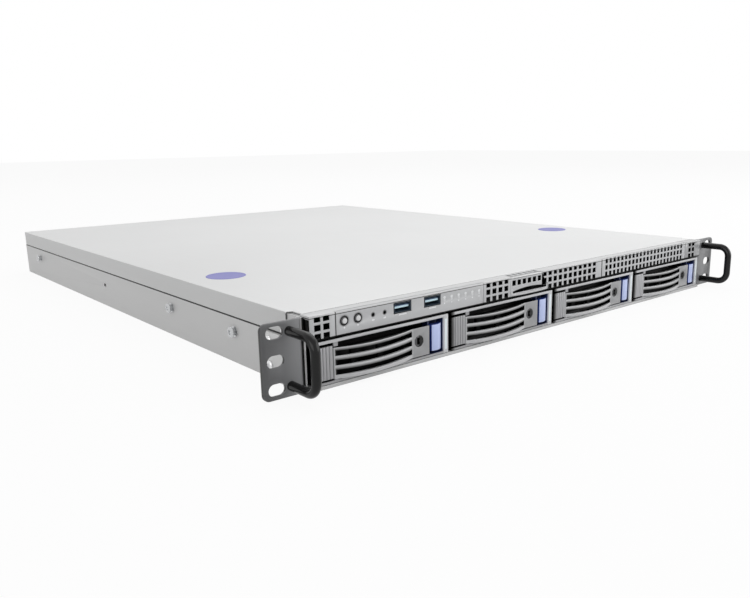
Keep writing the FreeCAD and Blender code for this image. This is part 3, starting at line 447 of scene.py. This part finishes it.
def driveCasting(i):  # cast body with painted shade, near black, on its front end
    fin = Finish("drive_casting_%d" % i, Metallic=drive["metal"])
    sand = fin.noise(drive["sand"], 3.0)
    body = fin.mix(sand, tone(drive["shade"] * drive["low"]), tone(drive["shade"]))
    frontEnd = fin.axis("Y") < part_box("hard_drive_%d" % i)[0].y + drive["front"]
    fin.put("Base Color", fin.mix(frontEnd, body, tone(drive["dark"])))
    fin.surface(sand, drive)
    return fin.material


lock = {
    "plate": (0.075, 0.075, 0.08, 1.0), "low": 0.8, "high": 1.2, "dark": 0.008, "metal": 0.5,
    "inner": 0.0010, "outer": 0.0036, "from": 0.0001, "deep": 0.0009,
    "scratch": 900.0, "rough": 0.35, "vary": 0.16,
}


def lockMetal(i):  # plated plug with painted shade, near black, in its key slot and in a crescent beside it
    fin = Finish("lock_plate_%d" % i, Metallic=lock["metal"])
    low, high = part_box("lock_core_%d" % i)
    across = fin.axis("X") - (low.x + high.x) / 2
    up = fin.axis("Z") - (low.z + high.z) / 2
    away = across * across + up * up
    crescent = away.within(lock["inner"] ** 2, lock["outer"] ** 2) * (across > lock["from"])
    slot = fin.axis("Y") > low.y + lock["deep"]
    scratch = fin.noise(lock["scratch"], 3.0)
    plate = fin.mix(scratch, shaded(lock["plate"], lock["low"]), shaded(lock["plate"], lock["high"]))
    fin.put("Base Color", fin.mix(fin.highest(crescent, slot), plate, tone(lock["dark"])))
    fin.surface(scratch, lock)
    return fin.material


tongue = {
    "bright": (0.62, 0.83, 0.92, 1.0), "low": 0.92, "deep": (0.012, 0.05, 0.12, 1.0), "share": 0.62,
    "skin": 900.0, "rough": 0.35, "vary": 0.12,
}


def tonguePlastic(name):  # pale contact tongue, deep blue towards its underside
    fin = Finish(name)
    low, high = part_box("usb_tongues")
    rise = (fin.axis("Z") - low.z) / (high.z - low.z)
    skin = fin.noise(tongue["skin"], 2.0)
    pale = fin.mix(skin, shaded(tongue["bright"], tongue["low"]), tongue["bright"])
    fin.put("Base Color", fin.mix(rise > tongue["share"], pale, tongue["deep"]))
    fin.surface(skin, tongue)
    return fin.material


gloss = {
    "low": 0.003, "high": 0.006, "specular": 0.26,
    "peel": 260.0, "rough": 0.19, "vary": 0.08, "bump": 0.08, "reach": 0.0003,
}


def glossBlack(name):
    fin = Finish(name, Specular_IOR_Level=gloss["specular"])
    peel = fin.noise(gloss["peel"], 2.0)
    fin.put("Base Color", fin.mix(peel, tone(gloss["low"]), tone(gloss["high"])))
    fin.surface(peel, gloss)
    return fin.material


plastic = {"low": 0.86, "high": 1.12, "skin": 1200.0, "vary": 0.15, "bump": 0.15, "reach": 0.00015}


def moulded(name, colour, rough):
    fin = Finish(name)
    skin = fin.noise(plastic["skin"], 2.0)
    fin.put("Base Color", fin.mix(skin, shaded(colour, plastic["low"]), shaded(colour, plastic["high"])))
    fin.surface(skin, {**plastic, "rough": rough})
    return fin.material


bare = {"low": 0.88, "metal": 0.9, "scratch": 500.0, "vary": 0.16, "bump": 0.06, "reach": 0.0001}


def bareMetal(name, colour, rough):
    fin = Finish(name, Metallic=bare["metal"])
    scratch = fin.noise(bare["scratch"], 3.0)
    fin.put("Base Color", fin.mix(scratch, shaded(colour, bare["low"]), colour))
    fin.surface(scratch, {**bare, "rough": rough})
    return fin.material


board = {
    "resist": (0.010, 0.055, 0.025, 1.0), "high": 1.7, "coat": 0.2, "coatRough": 0.3,
    "tracks": 90.0, "width": 0.03, "stagger": 0.37, "trackShare": 0.6, "speckShare": 0.3, "speck": 300.0,
    "rough": 0.45, "vary": 0.2, "bump": 0.15,
}


def circuitBoard(name):  # solder resist with a running pattern of tracks
    fin = Finish(name, Coat_Weight=board["coat"], Coat_Roughness=board["coatRough"])
    sizes = {"Vector": fin.place(), "Scale": board["tracks"], "Mortar Size": board["width"]}
    track = fin.add("ShaderNodeTexBrick", {"offset": board["stagger"]}, sizes, 1)
    speck = fin.noise(board["speck"], 2.0)
    mask = track * board["trackShare"] + speck * board["speckShare"]
    fin.put("Base Color", fin.mix(mask, board["resist"], shaded(board["resist"], board["high"])))
    fin.put("Roughness", board["rough"] + (speck - 0.5) * board["vary"])
    fin.bump(track, board["bump"])
    return fin.material


def middle(name):
    low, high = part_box(name)
    return (low + high) / 2


panel = {"pinSteps": (1.14, 2.04), "buttonRing": 0.0034, "pinRing": 0.0016}
buttonNames = ("power_button", "reset_button")
buttonHeight = middle("status_lights").z
buttonPlaces = [middle(name).x for name in buttonNames]
buttonStep = buttonPlaces[1] - buttonPlaces[0]
pinPlaces = [buttonPlaces[1] + buttonStep * share for share in panel["pinSteps"]]
panelRings = [(Vector((x, 0, buttonHeight)), panel["buttonRing"]) for x in buttonPlaces]
panelRings += [(Vector((x, 0, buttonHeight)), panel["pinRing"]) for x in pinPlaces]
finishes = {
    "cover": zincSheet("cover_zinc", 0.72),
    "zinc": zincSheet("inner_zinc", 0.55),
    "pan": panSheet("body_zinc"),
    "cage": cageSheet("cage_sheet"),
    "ear": earPaint("ear_paint"),
    "handle": glossBlack("handle_black"),
    "bezel": bezelPaint("bezel_paint"),
    "bay": bezelPaint("bay_paint", (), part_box("bay_panel")[0].x),
    "panel": bezelPaint("panel_paint", panelRings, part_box("control_panel")[0].x),
    "button": moulded("button_plastic", (0.115, 0.115, 0.12, 1.0), 0.35),
    "cap": moulded("cap_plastic", (0.70, 0.705, 0.71, 1.0), 0.30),
    "latch": latchPlastic("latch_plastic"),
    "pad": moulded("pad_plastic", (0.165, 0.165, 0.50, 1.0), 0.42),
    "tongue": tonguePlastic("socket_plastic"),
    "shell": moulded("socket_shell", (0.014, 0.026, 0.042, 1.0), 0.40),
    "light": moulded("light_pipe", (0.62, 0.63, 0.64, 1.0), 0.3),
    "ink": moulded("mark_ink", (0.74, 0.75, 0.76, 1.0), 0.6),
    "stud": bareMetal("stud_plate", (0.55, 0.56, 0.57, 1.0), 0.28),
    "bright": bareMetal("bright_plate", (0.80, 0.80, 0.81, 1.0), 0.22),
    "board": circuitBoard("main_board"),
    "dark": moulded("dark_plastic", (0.016, 0.016, 0.018, 1.0), 0.55),
    "fins": bareMetal("fin_metal", (0.62, 0.63, 0.65, 1.0), 0.35),
    "plate": bareMetal("port_plate", (0.40, 0.405, 0.41, 1.0), 0.38),
    "gold": bareMetal("contact_gold", (0.75, 0.58, 0.28, 1.0), 0.3),
}
finishOf = {
    "chassis_pan": "pan", "top_cover": "cover", "cover_pads": "pad", "rail_studs": "stud", "rack_ears": "ear",
    "handles": "handle", "handle_screws": "bright", "ear_screws": "bright", "front_grille": "bezel",
    "control_panel": "panel", "control_board": "board", "power_button": "button", "reset_button": "button",
    "usb_shells": "shell", "usb_tongues": "tongue", "status_lights": "light", "bay_panel": "bay",
    "pull_tag": "bezel", "drive_cage": "cage", "drive_backplane": "board", "drive_connectors": "dark",
    "fan_bracket": "zinc", "fan_frames": "dark", "motherboard": "board", "board_standoffs": "bright",
    "heatsinks": "fins", "memory_sockets": "dark", "memory_modules": "board", "riser_card": "board",
    "slot_bracket": "plate", "rear_ports": "plate", "supply_case": "zinc", "supply_rotor": "dark",
    "power_inlet": "dark",
}
for i in trays:
    finishes["tray%d" % i] = trayPaint(i)
    finishes["lever%d" % i] = leverPaint(i)
    finishes["lock%d" % i] = lockMetal(i)
    finishes["drive%d" % i] = driveCasting(i)
    finishOf["tray_carrier_%d" % i] = "tray%d" % i
    finishOf["lever_door_%d" % i] = "lever%d" % i
    finishOf["lock_core_%d" % i] = "lock%d" % i
    finishOf["tray_latch_%d" % i] = "latch"
    finishOf["hard_drive_%d" % i] = "drive%d" % i
    finishOf["fan_rotor_%d" % i] = "dark"
for name, node in nodes.items():
    node.data.materials.clear()
    node.data.materials.append(finishes[finishOf[name]])
print("finishes:", len(finishes))


# pieces

ease = {"segments": 2, "angle": 32.0, "weld": 0.000002, "flat": 0.4, "smooth": 38.0}


def collect(name, mesh, finish, body):
    for face in mesh.polygons:
        face.use_smooth = True
    mesh.set_sharp_from_angle(angle=math.radians(ease["smooth"]))
    piece = bpy.data.objects.new(name, mesh)
    scene.collection.objects.link(piece)
    mesh.materials.clear()
    mesh.materials.append(finishes[finish])
    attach(piece, body)
    return piece


def finishMesh(work, name, finish, body):
    bmesh.ops.recalc_face_normals(work, faces=work.faces)
    mesh = bpy.data.meshes.new(name)
    work.to_mesh(mesh)
    work.free()
    return collect(name, mesh, finish, body)


def standFor(work, node):
    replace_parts(finishMesh(work, node + "_fine", finishOf[node], bodyOf[node]), node)


joinGap = 0.000003


def solidsOf(name):  # the separate solids of a node, each as its lowest and highest corner
    work = bmesh.new()
    work.from_mesh(nodes[name].data)
    bmesh.ops.remove_doubles(work, verts=work.verts, dist=joinGap)
    waiting = set(work.verts)
    solids = []
    while waiting:
        reached = [waiting.pop()]
        for vert in reached:
            for edge in vert.link_edges:
                other = edge.other_vert(vert)
                if other in waiting:
                    waiting.remove(other)
                    reached.append(other)
        low = Vector([min(vert.co[k] for vert in reached) for k in range(3)])
        high = Vector([max(vert.co[k] for vert in reached) for k in range(3)])
        solids.append((low, high))
    work.free()
    return sorted(solids, key=lambda pair: tuple(round(c, 5) for c in pair[0]))


def easeEdges(name, width):  # a fine copy of a node with its sharp edges rounded over
    mesh = nodes[name].data.copy()
    mesh.name = name + "_fine"
    work = bmesh.new()
    work.from_mesh(mesh)
    bmesh.ops.remove_doubles(work, verts=work.verts, dist=ease["weld"])
    flat = math.radians(ease["flat"])
    bmesh.ops.dissolve_limit(work, angle_limit=flat, verts=work.verts, edges=work.edges)
    work.to_mesh(mesh)
    work.free()
    draft = bpy.data.objects.new(name + "_draft", mesh)
    scene.collection.objects.link(draft)
    bevel = draft.modifiers.new("ease", "BEVEL")
    bevel.width = width
    bevel.segments = ease["segments"]
    bevel.limit_method = "ANGLE"
    bevel.angle_limit = math.radians(ease["angle"])
    bpy.context.view_layer.update()
    graph = bpy.context.evaluated_depsgraph_get()
    shaped = bpy.data.meshes.new_from_object(draft.evaluated_get(graph))
    bpy.data.objects.remove(draft)
    piece = collect(name + "_fine", shaped, finishOf[name], bodyOf[name])
    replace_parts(piece, name)


eased = {
    "top_cover": 0.0004, "chassis_pan": 0.0003, "rack_ears": 0.0004, "front_grille": 0.00015,
    "bay_panel": 0.00015, "control_panel": 0.0002, "pull_tag": 0.0002, "power_inlet": 0.0003,
    "rear_ports": 0.0002, "usb_shells": 0.0001,
}
trayEased = {
    "tray_carrier": 0.0002, "lever_door": 0.0003, "tray_latch": 0.0002, "lock_core": 0.0001,
    "hard_drive": 0.0004,
}
for i in trays:
    for name, width in trayEased.items():
        eased["%s_%d" % (name, i)] = width
for name, width in eased.items():
    easeEdges(name, width)
print("eased:", len(eased))


def addTurned(work, profile, place, axis, steps=28):
    # a turned body: radius and height of each ring along the axis, and optionally a count of flat sides
    turn = Vector((0, 0, 1)).rotation_difference(Vector(axis)).to_matrix()
    rings = []
    for radius, height, *sides in profile:
        if radius == 0:
            rings.append([work.verts.new(Vector(place) + turn @ Vector((0, 0, height)))])
            continue
        ring = []
        for k in range(steps):
            angle = 2 * math.pi * k / steps
            reach = radius
            if sides:
                half = math.pi / sides[0]
                reach = radius * math.cos(half) / math.cos(angle % (2 * half) - half)
            spot = Vector((reach * math.cos(angle), reach * math.sin(angle), height))
            ring.append(work.verts.new(Vector(place) + turn @ spot))
        rings.append(ring)
    for first, second in zip(rings, rings[1:]):
        for k in range(steps):
            after = (k + 1) % steps
            corners = [first[k % len(first)], first[after % len(first)]]
            corners += [second[after % len(second)], second[k % len(second)]]
            corners = list(dict.fromkeys(corners))
            if len(corners) > 2:
                work.faces.new(corners)


def addTube(work, points, radius, steps=24):  # a round bar along a path that stays in one upright plane
    side = Vector((1, 0, 0))
    rings = []
    for k, point in enumerate(points):
        before = points[max(k - 1, 0)]
        after = points[min(k + 1, len(points) - 1)]
        across = (after - before).normalized().cross(side)
        ring = []
        for j in range(steps):
            angle = 2 * math.pi * j / steps
            spoke = math.cos(angle) * side + math.sin(angle) * across
            ring.append(work.verts.new(point + radius * spoke))
        rings.append(ring)
    for first, second in zip(rings, rings[1:]):
        for j in range(steps):
            work.faces.new((first[j], first[(j + 1) % steps], second[(j + 1) % steps], second[j]))
    work.faces.new(rings[0])
    work.faces.new(rings[-1])


handle = {"rod": 0.00275, "corner": 0.0080, "arcSteps": 10}


def makeHandles():  # one bent bar each, with rounded corners
    work = bmesh.new()
    rod = handle["rod"]
    corner = handle["corner"]
    for low, high in solidsOf("handles"):
        x = (low.x + high.x) / 2
        front = low.y + rod
        bottom = low.z + rod
        top = high.z - rod
        points = [Vector((x, high.y, bottom))]
        for height, flip in ((bottom, 1), (top, -1)):
            arc = []
            for k in range(handle["arcSteps"] + 1):
                angle = math.pi / 2 * k / handle["arcSteps"]
                y = front + corner * (1 - math.sin(angle))
                arc.append(Vector((x, y, height + flip * corner * (1 - math.cos(angle)))))
            points += arc if flip == 1 else arc[::-1]
        points.append(Vector((x, high.y, top)))
        addTube(work, points, rod)
    standFor(work, "handles")


makeHandles()

stud = {
    "foot": 0.0036, "neck": 0.0024, "head": 0.0037, "flange": 0.0012, "edge": 0.0003,
    "shoulder": 0.0004, "crown": 0.0001, "dimpleRim": 0.0007, "dimple": 0.0008,
}


def studProfile(length):  # foot on the wall, neck for the rail's slot, and a head with a dimple
    foot = stud["foot"]
    neck = stud["neck"]
    head = stud["head"]
    edge = stud["edge"]
    flange = length - stud["flange"]
    return [
        (0, 0), (foot, 0), (foot, edge), (neck, edge * 2),
        (neck, flange), (head * 0.97, flange), (head, flange + edge),
        (head * 0.93, length - stud["shoulder"]), (head * 0.7, length - stud["crown"]),
        (head * 0.40, length), (head * 0.34, length - stud["dimpleRim"]), (0, length - stud["dimple"]),
    ]


def makeStuds():
    work = bmesh.new()
    for low, high in solidsOf("rail_studs"):
        side = 1 if low.x > 0 else -1
        wall = low.x if side > 0 else high.x
        place = Vector((wall, (low.y + high.y) / 2, (low.z + high.z) / 2))
        addTurned(work, studProfile(high.x - low.x), place, (side, 0, 0))
    standFor(work, "rail_studs")


makeStuds()


def hexSocketHead(radius, length):  # rounded head with a hexagon recess
    return [
        (0, 0), (radius, 0), (radius, length * 0.45), (radius * 0.94, length * 0.75),
        (radius * 0.78, length * 0.96), (radius * 0.62, length),
        (radius * 0.50, length, 6), (radius * 0.48, length * 0.45, 6), (0, length * 0.4),
    ]


screwSteps = 24


def makeScrews(node, direction):
    work = bmesh.new()
    for low, high in solidsOf(node):
        centre = (low + high) / 2
        axis = direction(centre)
        length = abs((high - low).dot(axis))
        foot = centre - axis * (length / 2)
        radius = (high.z - low.z) / 2
        addTurned(work, hexSocketHead(radius, length), foot, axis, screwSteps)
    standFor(work, node)


makeScrews("handle_screws", lambda centre: Vector((0, 1, 0)))
makeScrews("ear_screws", lambda centre: Vector((1 if centre.x > 0 else -1, 0, 0)))

padSteps = 48


def makePads():  # shallow dished pads with a rounded rim
    work = bmesh.new()
    for low, high in solidsOf("cover_pads"):
        centre = (low + high) / 2
        radius = (high.x - low.x) / 2
        thick = high.z - low.z
        profile = [
            (0, 0), (radius, 0), (radius, thick * 0.5), (radius * 0.985, thick * 0.95),
            (radius * 0.95, thick), (radius * 0.90, thick * 0.75), (radius * 0.5, thick * 0.65),
            (0, thick * 0.6),
        ]
        addTurned(work, profile, (centre.x, centre.y, low.z), (0, 0, 1), padSteps)
    standFor(work, "cover_pads")


makePads()

button = {"radius": 0.00160, "rise": 0.00035, "cap": 0.0003}


def makeButtonCap(name):  # domed cap over the key's front
    work = bmesh.new()
    radius = button["radius"]
    place = Vector((middle(name).x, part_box(name)[0].y + button["cap"], buttonHeight))
    face = button["cap"] + button["rise"]
    profile = [
        (0, 0), (radius, 0), (radius, face * 0.45), (radius * 0.93, face * 0.72),
        (radius * 0.75, face * 0.88), (radius * 0.45, face * 0.97), (0, face),
    ]
    addTurned(work, profile, place, (0, -1, 0))
    finishMesh(work, name + "_cap", "cap", bodyOf[name])


for name in buttonNames:
    makeButtonCap(name)
print("turned pieces done")

marks = {
    "drop": 0.0040, "rise": 0.0015, "lightDrop": 0.0022, "pinRise": 0.0009, "socketDrop": 0.0014,
    "button": (0.0013, 0.0011), "pin": (0.0020, 0.0010), "socket": (0.0060, 0.0008),
    "light": (0.0010, 0.0010), "lightHead": (0.0022, 0.0017), "thick": 0.00003,
}


def addPatch(work, x, z, size, sides=4):  # thin printed mark on the panel's face
    width, height = size
    corner = math.cos(math.pi / sides)
    outline = []
    for k in range(sides):
        angle = 2 * math.pi * (k + 0.5) / sides
        outline.append((x + width / 2 * math.cos(angle) / corner, z + height / 2 * math.sin(angle) / corner))
    back = [work.verts.new((a, faceFront, b)) for a, b in outline]
    front = [work.verts.new((a, faceFront - marks["thick"], b)) for a, b in outline]
    work.faces.new(front)
    work.faces.new(back)
    for k in range(sides):
        after = (k + 1) % sides
        work.faces.new((back[k], back[after], front[after], front[k]))


def makeMarks():  # small generic dots and bars round the buttons, holes, sockets and lights
    work = bmesh.new()
    under = buttonHeight - marks["drop"]
    for x in buttonPlaces:
        addPatch(work, x, under, marks["button"], 12)
    for x in pinPlaces:
        addPatch(work, x, under + marks["pinRise"], marks["pin"])
    for low, high in solidsOf("usb_shells"):
        addPatch(work, (low.x + high.x) / 2, low.z - marks["socketDrop"], marks["socket"])
    for low, high in solidsOf("status_lights"):
        x = (low.x + high.x) / 2
        addPatch(work, x, buttonHeight - marks["lightDrop"], marks["light"], 10)
        addPatch(work, x, buttonHeight + marks["rise"], marks["lightHead"], 8)
    finishMesh(work, "panel_marks", "ink", "chassis")


makeMarks()

pins = {
    "rows": ((5, 4), (5, 5, 5)), "rowGaps": (0.0028, 0.00224), "pitch": 0.00276, "hole": 0.00055,
    "thick": 0.0001, "stand": 0.0044, "rise": 0.00005, "steps": 10,
}


def makePins():  # contacts of the two rear D-shaped ports
    work = bmesh.new()
    hole = pins["hole"]
    thick = pins["thick"]
    profile = [(0, 0), (hole, 0), (hole, thick), (0, thick)]
    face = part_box("chassis_pan")[1].y + pins["stand"]
    ports = solidsOf("rear_ports")
    for (low, high), rows, rowGap in zip(ports[:2], pins["rows"], pins["rowGaps"]):
        x = (low.x + high.x) / 2
        z = (low.z + high.z) / 2 + pins["rise"]
        for r, count in enumerate(rows):
            up = z + ((len(rows) - 1) / 2 - r) * rowGap
            for k in range(count):
                spot = (x + (k - (count - 1) / 2) * pins["pitch"], face, up)
                addTurned(work, profile, spot, (0, 1, 0), pins["steps"])
    finishMesh(work, "port_contacts", "dark", "chassis")


makePins()

springs = {
    "count": 8, "pitch": 0.00102, "wire": 0.0002, "steps": 8,
    "path": ((0.0004, -0.0003), (0.0060, -0.0018), (0.0090, -0.0030)),  # depth, and height under the roof
}


def makeSprings():  # contact springs in the network sockets
    work = bmesh.new()
    openings = {item["name"]: item["box_m"] for item in frame["record"]["physics"]["openings"]}
    for name in ("network_socket_left", "network_socket_right"):
        low, high = (Vector(corner) for corner in openings[name])
        for k in range(springs["count"]):
            x = (low.x + high.x) / 2 + (k - (springs["count"] - 1) / 2) * springs["pitch"]
            points = [Vector((x, low.y + depth, high.z + rise)) for depth, rise in springs["path"]]
            addTube(work, points, springs["wire"], springs["steps"])
    finishMesh(work, "network_springs", "gold", "chassis")


makeSprings()
print("pieces done")


# stage

stage = {
    "floorHalf": 6.0, "floorShade": 0.95, "floorRough": 0.9, "floorGloss": 0.1, "shadowShare": 0.08,
    "worldLight": 0.42,
}


def makeFloor():  # pale paper that is seen nearly white and keeps a soft shadow
    half = stage["floorHalf"]
    corners = [(-half, -half, 0), (half, -half, 0), (half, half, 0), (-half, half, 0)]
    mesh = bpy.data.meshes.new("floor")
    mesh.from_pydata(corners, [], [(0, 1, 2, 3)])
    floor = bpy.data.objects.new("floor", mesh)
    scene.collection.objects.link(floor)
    fin = Finish("floor_paper", Roughness=stage["floorRough"], Specular_IOR_Level=stage["floorGloss"])
    fin.put("Base Color", tone(stage["floorShade"]))
    glow = fin.add("ShaderNodeEmission", None, {"Color": tone(1.0), "Strength": 1.0})
    paper = Wire(fin, fin.shader.outputs[0])
    share = fin.seen() * (1.0 - stage["shadowShare"])
    mixed = fin.add("ShaderNodeMixShader", None, {0: share, 1: paper, 2: glow})
    fin.plug(fin.out.inputs[0], mixed)
    mesh.materials.append(fin.material)


def makeWorld():  # plain white where it is seen or mirrored, and a soft light elsewhere
    scene.world = bpy.data.worlds.new("studio")
    sky = Graph(scene.world)
    levels = {"Value": sky.seen(), "To Min": stage["worldLight"], "To Max": 1.0}
    level = sky.add("ShaderNodeMapRange", None, levels)
    back = sky.add("ShaderNodeBackground", None, {"Color": tone(1.0), "Strength": level})
    sky.plug(sky.tree.nodes.new("ShaderNodeOutputWorld").inputs[0], back)


def softbox(name, place, target, size, power):
    light = bpy.data.lights.new(name, "AREA")
    light.shape = "RECTANGLE"
    light.size, light.size_y = size
    light.energy = power
    lamp = bpy.data.objects.new(name, light)
    scene.collection.objects.link(lamp)
    lamp.location = place
    lamp.rotation_euler = (Vector(target) - Vector(place)).to_track_quat("-Z", "Y").to_euler()


lamps = {  # place, target, size and power
    "overhead": ((0.9, 0.5, 1.9), (0.1, 0, 0), (2.4, 2.4), 19.0),
    "front": ((0.95, -1.0, 0.5), (0.2, -0.25, 0), (1.5, 0.9), 8.0),
    "side": ((-2.2, -0.6, 0.8), (0, 0, 0), (2.0, 1.2), 13.0),
}
makeFloor()
makeWorld()
for name, (place, target, size, power) in lamps.items():
    softbox(name, place, target, size, power)

view = {
    "place": (-0.42525, -0.59375, 0.13657), "turn": (77.228, 0.803, -41.107), "lens": 35.243, "sensor": 36.0,
    "shift": (-0.0431, 0.0091), "near": 0.01,
}
cameraData = bpy.data.cameras.new("camera")
camera = bpy.data.objects.new("camera", cameraData)
scene.collection.objects.link(camera)
camera.location = view["place"]
camera.rotation_euler = [math.radians(angle) for angle in view["turn"]]
cameraData.sensor_width = view["sensor"]
cameraData.lens = view["lens"]
cameraData.shift_x, cameraData.shift_y = view["shift"]
cameraData.clip_start = view["near"]
scene.camera = camera
scene.view_settings.view_transform = "Standard"
print("stage set")
